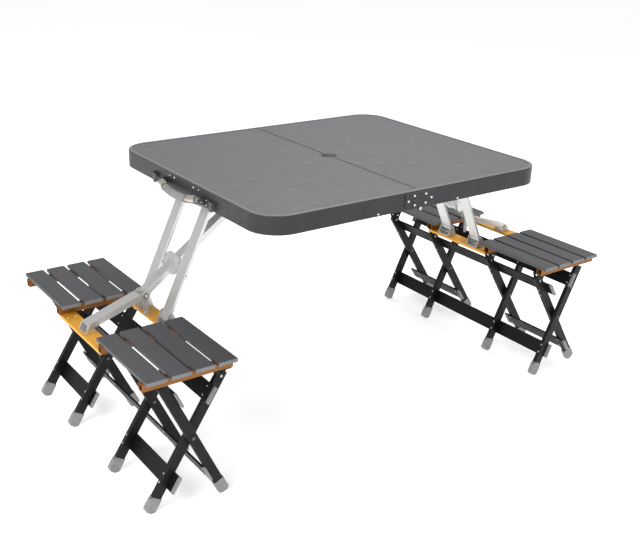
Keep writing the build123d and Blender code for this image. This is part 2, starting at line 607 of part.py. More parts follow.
with BuildPart() as outer_leg_stretchers:
    stretcher(OUTER_LEG_TOP, OUTER_LEG_FOOT, OUTER_LOWER_START, FACE, *SEAT_STRETCHER_Y)
    mirror(about=Plane.XZ)
    upper_low = -FACE - STRETCHER_THICKNESS
    stretcher(OUTER_LEG_TOP, OUTER_LEG_FOOT, OUTER_UPPER_START, upper_low, -LONG_HALF, LONG_HALF)
save_pair(outer_leg_stretchers, "outer_leg_stretchers")

with BuildPart() as inner_leg_stretchers:
    lower_low = -FACE - STRETCHER_THICKNESS
    stretcher(INNER_LEG_TOP, INNER_LEG_FOOT, INNER_LOWER_START, lower_low, -LONG_HALF, LONG_HALF)
    stretcher(INNER_LEG_TOP, INNER_LEG_FOOT, INNER_UPPER_START, FACE, -LONG_HALF, LONG_HALF)
save_pair(inner_leg_stretchers, "inner_leg_stretchers")

with BuildPart() as outer_leg_feet:
    for y in OUTER_LEG_Y:
        boot(OUTER_LEG_TOP, OUTER_LEG_FOOT, y)
    mirror(about=Plane.XZ)
    split(bisect_by=Plane.XY, keep=Keep.TOP)
save_pair(outer_leg_feet, "outer_leg_feet")

with BuildPart() as inner_leg_feet:
    for y in INNER_LEG_Y:
        boot(INNER_LEG_TOP, INNER_LEG_FOOT, y)
    mirror(about=Plane.XZ)
    split(bisect_by=Plane.XY, keep=Keep.TOP)
save_pair(inner_leg_feet, "inner_leg_feet")

with BuildPart() as leg_cross_bolts:
    for y in LEG_PAIR_Y:
        half = LEG_STAGGER + LEG_THICKNESS / 2 + 0.2
        headed_pin(LEG_CROSSING, BOLT_RADIUS, y - half, y + half, 4.4, 1.6)
        rod(LEG_CROSSING, 5.5, y - 1.8, y + 1.8)
    mirror(about=Plane.XZ)
save_pair(leg_cross_bolts, "leg_cross_bolts")

# ---- Carrying handle and latches on the left end, catches on the right end ----
HANDLE_AXIS = (-END_X - 13, 631)
HANDLE_Y = 104
GRIP_RADIUS = 9.5
GRIP_HALF_LENGTH = HANDLE_Y - 14
GRIP_BOW = (13, 7)
TRUNNION_RADIUS = 3

with BuildPart() as handle_mounts:
    x, z = HANDLE_AXIS
    box_between((-END_X - 2, HANDLE_Y - 12, z - 13), (-END_X, HANDLE_Y + 14, z + 8))
    slab([(-END_X, z - 9), (-END_X, z + 7), (x, z + 6), (x, z - 6)], HANDLE_Y - 4, HANDLE_Y + 4)
    rod(HANDLE_AXIS, 6, HANDLE_Y - 4, HANDLE_Y + 4)
    drill(HANDLE_AXIS, TRUNNION_RADIUS, HANDLE_Y - 20, HANDLE_Y + 20)
    mirror(about=Plane.XZ)
save(handle_mounts, "handle_mounts")

with BuildPart() as handle_grip:
    x, z = HANDLE_AXIS
    with BuildLine() as curve:
        middle = (x - GRIP_BOW[0], 0, z - GRIP_BOW[1])
        ThreePointArc((x, -GRIP_HALF_LENGTH, z), middle, (x, GRIP_HALF_LENGTH, z))
    with BuildSketch(Plane(origin=curve.line @ 0, z_dir=curve.line % 0)):
        Circle(GRIP_RADIUS)
    sweep(path=curve.line)
    for side in (-1, 1):
        y_low, y_high = sorted((side * (HANDLE_Y - 15), side * (HANDLE_Y + 6)))
        rod(HANDLE_AXIS, TRUNNION_RADIUS, y_low, y_high)
        y_low, y_high = sorted((side * (HANDLE_Y - 15), side * (HANDLE_Y - 5)))
        rod(HANDLE_AXIS, 6.5, y_low, y_high)
save(handle_grip, "handle_grip")

LATCH_Y = 142
LATCH_AXIS = (-END_X - 6, 637)
LATCH_HALF = 8
LATCH_DROP = 21
LATCH_PIN_RADIUS = 1.5

with BuildPart() as latch_mounts:
    x, z = LATCH_AXIS
    box_between((-END_X - 1.5, LATCH_Y - LATCH_HALF - 4, z - 8), (-END_X, LATCH_Y + LATCH_HALF + 4, z + 6))
    for y_low in (LATCH_Y - LATCH_HALF - 2.5, LATCH_Y + LATCH_HALF + 0.5):
        slab([(-END_X, z - 7), (-END_X, z + 5), (x, z + 3), (x, z - 3)], y_low, y_low + 2)
        rod(LATCH_AXIS, 3, y_low, y_low + 2)
    rod(LATCH_AXIS, LATCH_PIN_RADIUS, LATCH_Y - LATCH_HALF - 1, LATCH_Y + LATCH_HALF + 1)
    mirror(about=Plane.XZ)
save(latch_mounts, "latch_mounts")


def latch(middle_y):
    """Sprung steel lever with a rolled eye at the top and a hooked lip at the bottom."""
    x, z = LATCH_AXIS
    y_low = middle_y - LATCH_HALF
    y_high = middle_y + LATCH_HALF
    rod(LATCH_AXIS, 3, y_low, y_high)
    bottom = z - LATCH_DROP
    slab([(x - 3, z), (x - 1.2, z), (x - 1.2, bottom), (x - 3, bottom)], y_low + 1, y_high - 1)
    slab([(x - 3, bottom), (x + 2, bottom + 2), (x + 2, bottom + 3.5), (x - 3, bottom + 2)], y_low + 1, y_high - 1)
    drill(LATCH_AXIS, LATCH_PIN_RADIUS, y_low, y_high)


with BuildPart() as front_latch:
    latch(-LATCH_Y)
save(front_latch, "front_latch")

with BuildPart() as back_latch:
    latch(LATCH_Y)
save(back_latch, "back_latch")

with BuildPart() as latch_catches:
    z = RIM_BOTTOM + 2
    box_between((END_X, LATCH_Y - LATCH_HALF - 2, z), (END_X + 1.5, LATCH_Y + LATCH_HALF + 2, z + 24))
    hook = [(END_X, z), (END_X + 5, z + 1), (END_X + 5, z + 7), (END_X + 3.5, z + 7), (END_X + 3.5, z + 4), (END_X, z + 4)]
    slab(hook, LATCH_Y - LATCH_HALF, LATCH_Y + LATCH_HALF)
    mirror(about=Plane.XZ)
save(latch_catches, "latch_catches")
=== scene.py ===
"""Looks for the folding picnic table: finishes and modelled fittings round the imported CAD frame.

Lengths are in metres, and profiles, sections and rivet sizes are in millimetres, as their comments say.
"""

import json
import math

import bmesh
import bpy
import numpy as np
from mathutils import Matrix, Vector


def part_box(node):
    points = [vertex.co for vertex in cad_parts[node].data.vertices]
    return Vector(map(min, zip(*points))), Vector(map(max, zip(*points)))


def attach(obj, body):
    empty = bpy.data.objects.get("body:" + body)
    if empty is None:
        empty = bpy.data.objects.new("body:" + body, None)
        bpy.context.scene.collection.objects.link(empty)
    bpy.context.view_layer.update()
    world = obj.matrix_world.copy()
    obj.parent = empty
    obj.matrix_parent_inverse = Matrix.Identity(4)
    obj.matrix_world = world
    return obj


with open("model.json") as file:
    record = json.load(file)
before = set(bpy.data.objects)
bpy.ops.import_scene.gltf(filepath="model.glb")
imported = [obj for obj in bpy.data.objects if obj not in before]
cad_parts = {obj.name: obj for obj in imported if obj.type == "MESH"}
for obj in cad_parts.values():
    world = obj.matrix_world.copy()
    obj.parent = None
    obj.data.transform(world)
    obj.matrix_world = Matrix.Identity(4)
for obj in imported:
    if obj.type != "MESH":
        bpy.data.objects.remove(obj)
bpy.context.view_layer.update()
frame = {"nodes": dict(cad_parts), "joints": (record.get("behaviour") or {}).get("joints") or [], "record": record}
nodes = frame["nodes"]
pivots = {joint["name"]: Vector(joint["pos_m"]) for joint in frame["joints"]}
MM = 0.001
SIDES = (("left", -1), ("right", 1))
ENDS = (-1, 1)


# ---- Node materials ----
class Shader:
    """A node material built up step by step from the object's own coordinates, in metres."""

    def __init__(self, name):
        self.material = bpy.data.materials.new(name)
        self.material.use_nodes = True
        self.tree = self.material.node_tree
        self.tree.nodes.clear()
        self.output = self.tree.nodes.new("ShaderNodeOutputMaterial")
        self.surface = self.tree.nodes.new("ShaderNodeBsdfPrincipled")
        self.tree.links.new(self.surface.outputs["BSDF"], self.output.inputs["Surface"])
        self.place = self.tree.nodes.new("ShaderNodeTexCoord").outputs["Object"]
        self.soft_normal = None

    def plug(self, socket, value):
        """Link a socket, or set its plain value."""
        if isinstance(value, bpy.types.NodeSocket):
            self.tree.links.new(value, socket)
        elif hasattr(value, "__len__") and len(value) == 3 and len(socket.default_value) == 4:
            socket.default_value = (*value, 1.0)
        else:
            socket.default_value = value

    def add(self, kind, inputs):
        """New node with its inputs set by name or place."""
        made = self.tree.nodes.new("ShaderNode" + kind)
        for key, value in inputs.items():
            self.plug(made.inputs[key], value)
        return made

    def geometry(self, output):
        """One of the outputs that describe the shaded point, such as its normal."""
        return self.tree.nodes.new("ShaderNodeNewGeometry").outputs[output]

    def set(self, **inputs):
        """Inputs of the surface, with _ for a space."""
        for key, value in inputs.items():
            self.plug(self.surface.inputs[key.replace("_", " ").title()], value)

    def set_gloss(self, level):
        """How strongly the surface reflects at its face."""
        self.plug(self.surface.inputs["Specular IOR Level"], level)

    def noise(self, scale, detail=2.0, stretch=(1, 1, 1), turn=0.0):
        """Noise from 0 to 1, drawn out by stretch after turning the axes about Y."""
        mapping = self.add("Mapping", {"Vector": self.place, "Rotation": (0, turn, 0), "Scale": stretch})
        mapping.vector_type = "TEXTURE"
        made = self.add("TexNoise", {"Vector": mapping.outputs[0], "Scale": scale, "Detail": detail})
        return made.outputs[0]

    def cells(self, scale):
        """Distance to the nearest cell centre, for pebbled and speckled skins."""
        return self.add("TexVoronoi", {"Vector": self.place, "Scale": scale}).outputs["Distance"]

    def levels(self, value, low, high, first=0.0, last=1.0):
        """Value from low to high spread over first to last."""
        return self.add("MapRange", {0: value, 1: low, 2: high, 3: first, 4: last}).outputs[0]

    def mix(self, factor, first, last):
        """Colour between two colours."""
        made = self.tree.nodes.new("ShaderNodeMix")
        made.data_type = "RGBA"
        for key, value in ((0, factor), (6, first), (7, last)):
            self.plug(made.inputs[key], value)
        return made.outputs[2]

    def times(self, first, last):
        """Product of two values."""
        made = self.add("Math", {0: first, 1: last})
        made.operation = "MULTIPLY"
        return made.outputs[0]

    def rounding(self, radius):
        """Normal with the sharp edges rounded off."""
        if self.soft_normal is None:
            made = self.add("Bevel", {"Radius": radius})
            made.samples = 4
            self.soft_normal = made.outputs[0]
        return self.soft_normal

    def edges(self, radius, reach):
        """1 along sharp edges, falling to 0 on flat faces."""
        dot = self.add("VectorMath", {0: self.rounding(radius), 1: self.geometry("Normal")})
        dot.operation = "DOT_PRODUCT"
        return self.levels(dot.outputs["Value"], 1.0 - reach, 1.0, 1.0, 0.0)

    def bump(self, height, distance, strength=1.0, radius=0.0008):
        """Surface relief in metres on top of the rounded edges."""
        inputs = {"Height": height, "Distance": distance, "Strength": strength}
        made = self.add("Bump", {**inputs, "Normal": self.rounding(radius)})
        self.plug(self.surface.inputs["Normal"], made.outputs[0])


def shade(colour, factor):
    """A colour made lighter or darker."""
    return tuple(min(1.0, c * factor) for c in colour)


def powder_coat(name, colour, wear_and_highlight, roughness, painted_top_highlight, gloss):
    """Satin powder coat: fine speckle, soft cloudy shade, pale rubbed edges and a painted highlight on upward
    faces.
    """
    s = Shader(name)
    cloudy = s.levels(s.noise(scale=14, detail=3), low=0.35, high=0.65)
    base = s.mix(cloudy, shade(colour, 0.9), shade(colour, 1.1))
    speck = s.levels(s.noise(scale=1500, detail=1), low=0.45, high=0.75)
    base = s.mix(s.times(speck, 0.25), base, shade(colour, 1.5))
    patchy = s.levels(s.noise(scale=45, detail=4), low=0.35, high=0.7, first=0.15, last=0.75)
    base = s.mix(s.times(s.edges(radius=0.0012, reach=0.12), patchy), base, wear_and_highlight)
    if painted_top_highlight:
        # Upward faces are lightened toward the pale colour: a painted highlight on the top.
        height = s.add("SeparateXYZ", {0: s.geometry("Normal")}).outputs["Z"]
        base = s.mix(s.levels(height, low=0.35, high=0.95, last=painted_top_highlight), base, wear_and_highlight)
    rough = s.levels(s.noise(scale=60, detail=3), 0.3, 0.7, first=roughness - 0.06, last=roughness + 0.08)
    s.set(base_color=base, roughness=rough)
    s.set_gloss(gloss)
    s.bump(s.noise(scale=650, detail=2), distance=0.00012, strength=0.5)
    return s.material


def pebbled_laminate(name, colour):
    """Fine pebbled table laminate with faint scuffs and a slow change of shade."""
    s = Shader(name)
    slow = s.levels(s.noise(scale=3.0, detail=2), low=0.3, high=0.7)
    base = s.mix(slow, shade(colour, 0.93), shade(colour, 1.07))
    pebble = s.cells(scale=620)
    base = s.mix(s.levels(pebble, low=0.1, high=0.7, last=0.5), shade(colour, 1.1), base)
    scuff = s.levels(s.noise(scale=9, detail=6, stretch=(1, 12, 1)), low=0.62, high=0.72, last=0.22)
    base = s.mix(scuff, base, shade(colour, 1.5))
    base = s.mix(s.times(s.edges(radius=0.001, reach=0.1), 0.6), base, shade(colour, 1.7))
    s.set(base_color=base, roughness=s.levels(s.noise(scale=25, detail=4), 0.3, 0.7, first=0.42, last=0.56))
    s.bump(pebble, distance=0.0002, strength=0.45)
    return s.material


def slat_board(name, colour):
    """Matt laminate board with a fine grain along its length and paler arrises."""
    s = Shader(name)
    grain = s.noise(scale=260, detail=5, stretch=(1, 26, 1))
    wide = s.noise(scale=30, detail=3, stretch=(1, 10, 1))
    base = s.mix(s.levels(grain, low=0.3, high=0.7), shade(colour, 0.88), shade(colour, 1.12))
    base = s.mix(s.levels(wide, low=0.35, high=0.7, last=0.55), base, shade(colour, 1.18))
    patchy = s.levels(s.noise(scale=35, detail=3), low=0.3, high=0.7, first=0.35, last=0.9)
    base = s.mix(s.times(s.edges(radius=0.0016, reach=0.2), patchy), base, shade(colour, 2.1))
    s.set(base_color=base, roughness=s.levels(wide, low=0.3, high=0.7, first=0.4, last=0.56))
    s.bump(grain, distance=0.00025, strength=0.35)
    return s.material


def brushed_metal(name, colour, stretch, turn=0.0, metallic=0.8, roughness=0.36):
    """Satin anodised metal with brush lines along the member and small handling marks."""
    s = Shader(name)
    lines = s.noise(scale=900, detail=3, stretch=stretch, turn=turn)
    cloudy = s.levels(s.noise(scale=16, detail=3), low=0.3, high=0.7)
    base = s.mix(s.levels(lines, low=0.3, high=0.7), shade(colour, 0.86), colour)
    base = s.mix(s.times(cloudy, 0.35), base, shade(colour, 0.9))
    marks = s.levels(s.noise(scale=120, detail=5, stretch=(1, 6, 1)), low=0.68, high=0.76, last=0.35)
    base = s.mix(marks, base, shade(colour, 0.6))
    base = s.mix(s.times(s.edges(radius=0.001, reach=0.12), 0.5), base, shade(colour, 1.15))
    s.set(base_color=base, metallic=metallic)
    s.set(roughness=s.levels(lines, low=0.3, high=0.7, first=roughness - 0.08, last=roughness + 0.1))
    s.bump(lines, distance=0.00006, strength=0.3)
    return s.material


def zinc(name, colour, roughness=0.3):
    """Bright plated steel with a faint crystalline spangle."""
    s = Shader(name)
    spangle = s.levels(s.cells(scale=420), low=0.1, high=0.6)
    base = s.mix(spangle, shade(colour, 0.85), colour)
    stain = s.levels(s.noise(scale=90, detail=4), low=0.55, high=0.75, last=0.4)
    base = s.mix(stain, base, shade(colour, 0.65))
    rough = s.levels(spangle, low=0, high=1, first=roughness, last=roughness + 0.14)
    s.set(base_color=base, metallic=0.9, roughness=rough)
    s.bump(s.noise(scale=500, detail=3), distance=0.00006, strength=0.4, radius=0.0004)
    return s.material


def moulded(name, colour, roughness=0.5, grain=900):
    """Moulded plastic or rubber with a spark-eroded skin, a little grime, and pale edges that are partly wear and
    partly a painted highlight.
    """
    s = Shader(name)
    specks = s.levels(s.cells(scale=grain), low=0.15, high=0.6)
    base = s.mix(s.times(specks, 0.3), colour, shade(colour, 0.6))
    cloudy = s.levels(s.noise(scale=40, detail=4), low=0.4, high=0.7, last=0.4)
    base = s.mix(cloudy, base, shade(colour, 1.25))
    grime = s.levels(s.noise(scale=70, detail=5), low=0.56, high=0.7, last=0.35)
    base = s.mix(grime, base, shade(colour, 0.62))
    # Paler edges: partly wear, partly a painted highlight along the edges.
    base = s.mix(s.times(s.edges(radius=0.001, reach=0.15), 0.35), base, shade(colour, 1.5))
    s.set(base_color=base, roughness=s.levels(specks, low=0, high=1, first=roughness, last=roughness + 0.1))
    s.bump(specks, distance=0.00012, strength=0.5)
    return s.material


def pale_floor(name):
    """Plain pale studio floor, faintly lit from within to stay near white, and clear from below."""
    s = Shader(name)
    base = s.mix(s.levels(s.noise(scale=0.6), low=0.3, high=0.7), (0.93, 0.93, 0.93), (0.95, 0.95, 0.95))
    s.set(base_color=base, roughness=0.9, emission_color=(1, 1, 1), emission_strength=0.5)
    s.set_gloss(0.1)
    below = s.geometry("Backfacing")
    clear = s.tree.nodes.new("ShaderNodeBsdfTransparent").outputs[0]
    seen = s.add("MixShader", {0: below, 1: s.surface.outputs[0], 2: clear}).outputs[0]
    s.plug(s.output.inputs["Surface"], seen)
    return s.material


# ---- Geometry read from the frame ----
def member(node):
    """Middle, direction (pointing down) and half length of a straight member, in the XZ plane."""
    points = np.array([(v.co.x, v.co.z) for v in nodes[node].data.vertices])
    middle = points.mean(axis=0)
    direction = np.linalg.svd(points - middle, full_matrices=False)[2][0]
    if direction[1] > 0:
        direction = -direction
    reach = (points - middle) @ direction
    middle = middle + direction * (reach.min() + reach.max()) / 2
    half = (reach.max() - reach.min()) / 2
    return Vector((middle[0], 0, middle[1])), Vector((direction[0], 0, direction[1])), half


def lean_of(node):
    """Angle about Y that turns the X axis onto a straight member."""
    direction = member(node)[1]
    return math.atan2(-direction.z, direction.x)


def surface(node, start, direction):
    """Point where a ray from start first meets a CAD node."""
    hit, place, _, _ = nodes[node].ray_cast(Vector(start), Vector(direction))
    if not hit:
        raise ValueError(f"no surface of {node} seen from {tuple(start)}")
    return place


def cluster(values, gap):
    """Middles of the groups that values fall into, where groups are more than a gap apart."""
    groups = []
    for value in sorted(values):
        if groups and value - groups[-1][-1] < gap:
            groups[-1].append(value)
        else:
            groups.append([value])
    return [(group[0] + group[-1]) / 2 for group in groups]


# ---- Modelled pieces ----
SHARP_ANGLE = math.radians(38)
MERGE_DISTANCE = 1e-6
SMALLEST_RADIUS = 0.01

# Pop rivet as shares of its radius and height: a domed flange with the dimple its mandrel leaves.
RIVET_SHAPE = ((1.0, 0.15), (0.92, 0.5), (0.72, 0.86), (0.5, 1.0), (0.4, 0.96), (0.34, 0.7), (0.0, 0.66))
RIVET_SINK = 0.2


def rounded_outline(width, height, radius, steps=4):
    """Points round a rounded rectangle."""
    points = []
    for quarter, (sign_x, sign_y) in enumerate(((1, 1), (-1, 1), (-1, -1), (1, -1))):
        for i in range(steps + 1):
            angle = math.pi / 2 * (quarter + i / steps)
            x = sign_x * (width / 2 - radius) + radius * math.cos(angle)
            y = sign_y * (height / 2 - radius) + radius * math.sin(angle)
            points.append((x, y))
    return points


def inset_sections(width, height, steps):
    """Sections for Piece.block whose outline draws in by each step of (depth, inset), in millimetres."""
    return [(depth, width - 2 * inset, height - 2 * inset) for depth, inset in steps]


def axes_for(direction):
    """Two axes square to a direction."""
    direction = Vector(direction).normalized()
    helper = Vector((0, 1, 0)) if abs(direction.y) < 0.9 else Vector((1, 0, 0))
    side = helper.cross(direction).normalized()
    return side, direction.cross(side)


class Piece:
    """One modelled object, gathered from lofted shapes."""

    def __init__(self, name):
        self.name = name
        self.mesh = bmesh.new()

    def loft(self, rings, capped=True):
        """Skin between rings of points."""
        made = [[self.mesh.verts.new(point) for point in ring] for ring in rings]
        count = len(made[0])
        for near, far in zip(made, made[1:]):
            for i in range(count):
                self.mesh.faces.new((near[i], near[(i + 1) % count], far[(i + 1) % count], far[i]))
        if capped:
            self.mesh.faces.new(list(reversed(made[0])))
            self.mesh.faces.new(made[-1])

    def turned(self, centre, direction, profile, segments=20, closed=False):
        """Solid of revolution; the profile gives (radius, height) in millimetres, closed for a ring."""
        direction = Vector(direction).normalized()
        side, other = axes_for(direction)
        rings = []
        for radius, height in profile:
            ring = []
            for i in range(segments):
                angle = math.tau * i / segments
                spoke = side * math.cos(angle) + other * math.sin(angle)
                reach = max(radius, SMALLEST_RADIUS) * MM
                ring.append(Vector(centre) + direction * height * MM + spoke * reach)
            rings.append(ring)
        if closed:
            self.loft(rings + rings[:1], capped=False)
        else:
            self.loft(rings)

    def prism(self, outline, origin, across, up, along, depth):
        """Outline of (across, up) points in millimetres, pushed by depth metres along a direction."""
        near = [Vector(origin) + Vector(across) * u * MM + Vector(up) * v * MM for u, v in outline]
        far = [point + Vector(along) * depth for point in near]
        self.loft([near, far])

    def block(self, centre, across, up, along, corner, sections):
        """Rounded block through sections of (depth, width, height), in millimetres like the corner."""
        rings = []
        for depth, width, height in sections:
            outline = rounded_outline(width * MM, height * MM, corner * MM)
            middle = Vector(centre) + Vector(along) * depth * MM
            rings.append([middle + Vector(across) * u + Vector(up) * v for u, v in outline])
        self.loft(rings)

    def rivet(self, place, direction, radius, height):
        """Pop rivet seated on a surface, its radius and height in millimetres."""
        profile = [(radius, -RIVET_SINK)] + [(radius * r, height * h) for r, h in RIVET_SHAPE]
        self.turned(place, direction, profile)

    def finish(self, material, body, bevel=0.0):
        """Make the smooth-shaded object, its edges softened by a bevel in millimetres, riding on its body."""
        bmesh.ops.remove_doubles(self.mesh, verts=self.mesh.verts, dist=MERGE_DISTANCE)
        bmesh.ops.recalc_face_normals(self.mesh, faces=self.mesh.faces)
        data = bpy.data.meshes.new(self.name)
        self.mesh.to_mesh(data)
        self.mesh.free()
        obj = bpy.data.objects.new(self.name, data)
        bpy.context.scene.collection.objects.link(obj)
        data.materials.append(material)
        data.polygons.foreach_set("use_smooth", [True] * len(data.polygons))
        data.set_sharp_from_angle(angle=SHARP_ANGLE)
        if bevel:
            rounding = obj.modifiers.new("soft edges", "BEVEL")
            rounding.width = bevel * MM
            rounding.segments = 2
            rounding.limit_method = "ANGLE"
        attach(obj, body)


# ---- Finishes ----
ORANGE = (0.90, 0.44, 0.045)
# Darkened copy of ORANGE: painted shade for the cross rails under the slats.
SHADED_ORANGE = (0.30, 0.11, 0.013)
SILVER = (0.74, 0.74, 0.728)
STEEL = (0.62, 0.62, 0.62)
BRIGHT_STEEL = (0.8, 0.8, 0.8)
DULL_STEEL = (0.36, 0.36, 0.36)
BLACK_STEEL = (0.12, 0.12, 0.125)
NICKEL = (0.62, 0.58, 0.5)
CHARCOAL = (0.022, 0.022, 0.026)
# Pale charcoal for the rim's worn edges and for the painted highlight on its upward faces.
CHARCOAL_WEAR_AND_HIGHLIGHT = (0.21, 0.21, 0.22)
TOP_GREY = (0.118, 0.118, 0.128)
RING_GREY = (0.115, 0.115, 0.124)
BEAD_GREY = (0.13, 0.13, 0.14)
SLAT_GREY = (0.062, 0.063, 0.068)
SLAT_CAP_GREY = (0.21, 0.212, 0.217)
LEG_BLACK = (0.0045, 0.0046, 0.0052)
WORN_BLACK = (0.09, 0.09, 0.09)
DARK_GREY = (0.03, 0.03, 0.032)
FOOT_GREY = (0.28, 0.28, 0.275)
CAP_GREY = (0.26, 0.26, 0.26)
GRIP_GREY = (0.25, 0.25, 0.25)

BRUSHED_ALONG_X = (40, 1, 1)
BRUSHED_ALONG_Y = (1, 40, 1)

# The rim's upward faces get a painted highlight; the legs get none.
rim_coat = powder_coat("rim_coat", CHARCOAL, CHARCOAL_WEAR_AND_HIGHLIGHT, roughness=0.42, painted_top_highlight=0.9, gloss=0.4)
leg_coat = powder_coat("leg_coat", LEG_BLACK, WORN_BLACK, roughness=0.46, painted_top_highlight=0.0, gloss=0.25)
laminate = pebbled_laminate("table_laminate", TOP_GREY)
board = slat_board("slat_board", SLAT_GREY)
plated = zinc("plated_steel", STEEL)
bright = zinc("bright_rivets", BRIGHT_STEEL, roughness=0.28)
dull = zinc("dull_rivets", DULL_STEEL, roughness=0.4)
blackened = zinc("blackened_steel", BLACK_STEEL, roughness=0.34)
warm_steel = zinc("warm_steel", NICKEL, roughness=0.25)
foot_plastic = moulded("foot_plastic", FOOT_GREY)
cap_plastic = moulded("cap_plastic", CAP_GREY)
slat_cap_plastic = moulded("slat_cap_plastic", SLAT_CAP_GREY)
dark_plastic = moulded("dark_plastic", DARK_GREY)
ring_plastic = moulded("ring_plastic", RING_GREY, roughness=0.4)
bead_plastic = moulded("bead_plastic", BEAD_GREY, roughness=0.4)
grip_rubber = moulded("grip_rubber", GRIP_GREY, grain=700)
ORANGE_SHEEN = {"metallic": 0.35, "roughness": 0.42}
orange_along = brushed_metal("orange_rail", ORANGE, BRUSHED_ALONG_Y, **ORANGE_SHEEN)
# Cross rails: the darkened orange is painted shade under the slats.
shaded_orange_across = brushed_metal("orange_cross_rail_shaded", SHADED_ORANGE, BRUSHED_ALONG_X, **ORANGE_SHEEN)

SLOT_FINISH = {
    "rim_shell": rim_coat,
    "table_top": laminate,
    "umbrella_ring": ring_plastic,
    "plated_steel": plated,
    "grip": grip_rubber,
    "orange_rails": orange_along,
    "seat_slats": board,
    "black_legs": leg_coat,
    "grey_feet": foot_plastic,
}


def node_finish(name, slot):
    """Finish of a CAD node; the silver members are brushed along their own length, and the cross rails take a
    darker orange as painted shade.
    """
    if name.endswith("cross_rails"):
        return shaded_orange_across
    if "latch" in name or name == "handle_mounts" or name.endswith("cross_bolts"):
        return blackened
    if slot == "brushed_frame":
        return brushed_metal(name + "_brushed", SILVER, BRUSHED_ALONG_X, turn=lean_of(name))
    return SLOT_FINISH[slot]


def finish_nodes():
    """Give every CAD node its finish."""
    slots = {part["node"]: part["material_slot"] for part in frame["record"]["subparts"]}
    for name, obj in nodes.items():
        obj.data.materials.clear()
        obj.data.materials.append(node_finish(name, slots[name]))


finish_nodes()

# ---- Table top ----
CORNER_RADIUS = 0.075
CORNER_STEPS = 12
SEAM_MARGIN = 0.002
BEAD_INSET = 0.0098
# (outwards, up) in millimetres
BEAD_SECTION = ((-1.1, -1.0), (-0.9, -0.3), (-0.4, 0.15), (0.4, 0.15), (0.9, -0.3), (1.1, -1.0))

HOLE_MARGIN = 0.001
STRIP_END_MARGIN = 0.010
# (away from the seam, up) in millimetres
STRIP_SECTION = ((0.4, -1.5), (0.4, 0.25), (0.8, 0.4), (1.6, 0.4), (1.9, 0.2), (1.9, -1.5))

# Rivets in millimetres: (from the seam, below the top) and (off the middle, radius)
HINGE_RIVETS = ((18, 11.6), (36, 23), (18, 34))
END_WALL_RIVETS = ((48, 3.0), (72, 2.0))
END_WALL_DROP = 0.011
RIM_RIVET_FROM_SEAM = 0.125
RIM_RIVET_DROP = 0.040
# Rays towards the table start this far from its middle
BESIDE_TABLE = 0.45
BEYOND_TABLE = 0.5


def border_path(side, out):
    """Line of the bead round one half, from the seam round both corners."""
    low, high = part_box(side + "_rim")
    edge = max(abs(low.x), abs(high.x)) - BEAD_INSET
    width = high.y - BEAD_INSET
    radius = CORNER_RADIUS - BEAD_INSET
    points = [Vector((out * SEAM_MARGIN, -width, high.z))]
    for start, sign in ((-90, -1), (0, 1)):
        for i in range(CORNER_STEPS + 1):
            angle = math.radians(start + 90 * i / CORNER_STEPS)
            x = out * (edge - radius + radius * math.cos(angle))
            y = sign * (width - radius) + radius * math.sin(angle)
            points.append(Vector((x, y, high.z)))
    points.append(Vector((out * SEAM_MARGIN, width, high.z)))
    return points


def table_border(side, out):
    """Thin pale bead where the laminate meets the rim's lip."""
    piece = Piece(side + "_border_bead")
    path = border_path(side, out)
    rings = []
    for i, point in enumerate(path):
        before = path[max(i - 1, 0)]
        after = path[min(i + 1, len(path) - 1)]
        sideways = (after - before).normalized().cross(Vector((0, 0, 1)))
        rings.append([point + sideways * u * MM + Vector((0, 0, v * MM)) for u, v in BEAD_SECTION])
    piece.loft(rings)
    piece.finish(bead_plastic, side + "_table_half")


def seam_strip(side, out):
    """Dark strip let into the edge of one half along the seam, parted at the umbrella hole."""
    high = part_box(side + "_top_panel")[1]
    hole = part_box(side + "_umbrella_ring")[1].y + HOLE_MARGIN
    piece = Piece(side + "_seam_strip")
    for end in ENDS:
        origin = (0, end * hole, high.z)
        length = high.y - STRIP_END_MARGIN - hole
        piece.prism(STRIP_SECTION, origin, (out, 0, 0), (0, 0, 1), (0, end, 0), length)
    piece.finish(dark_plastic, side + "_table_half")


def table_rivets(side, out):
    """Rivets of the case hinge leaves, the rim and the end wall."""
    body = side + "_table_half"
    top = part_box(side + "_rim")[1].z
    hinge = Piece(side + "_hinge_rivets")
    rim = Piece(side + "_rim_rivets")
    for face in ENDS:
        for from_seam, drop in HINGE_RIVETS:
            start = (out * from_seam * MM, face * BESIDE_TABLE, top - drop * MM)
            place = surface(side + "_hinge_plates", start, (0, -face, 0))
            hinge.rivet(place, (0, face, 0), radius=3.2, height=1.5)
        start = (out * RIM_RIVET_FROM_SEAM, face * BESIDE_TABLE, top - RIM_RIVET_DROP)
        rim.rivet(surface(side + "_rim", start, (0, -face, 0)), (0, face, 0), radius=2.8, height=1.3)
    for y, radius in END_WALL_RIVETS:
        for end in ENDS:
            start = (out * BEYOND_TABLE, end * y * MM, top - END_WALL_DROP)
            place = surface(side + "_rim", start, (-out, 0, 0))
            rim.rivet(place, (out, 0, 0), radius, height=0.45 * radius)
    hinge.finish(bright, body)
    rim.finish(bright, body)


# ---- Support and brace ----
# Rivets down the posts, as shares of the way from the upper pivot to the lower one
POST_RIVETS = (0.12, 0.672)
WEB_RIVETS = (0.62, 0.675)
WEB_RIVET_Y = 0.034
BRACE_RIVETS = (0.065, 0.113, 0.232)
# Rays towards a member start this far from it, or this far from the middle of the table
RAY_START = 0.05
BESIDE_POSTS = 0.15

# (radius, height) in millimetres
WASHER_PROFILE = ((6.2, -0.4), (6.2, 0.4), (5.7, 0.8), (4.9, 0.8), (4.5, 0.4), (4.4, 0.05))
CAP_PROFILE = ((4.3, -0.2), (4.3, 0.6), (3.9, 1.4), (2.8, 1.9), (1.5, 2.1), (1.3, 1.7), (0, 1.6))
TAB_RING_PROFILE = ((7.7, 0), (11, 0), (11, 0.9), (10.6, 1.2), (7.7, 1.2))
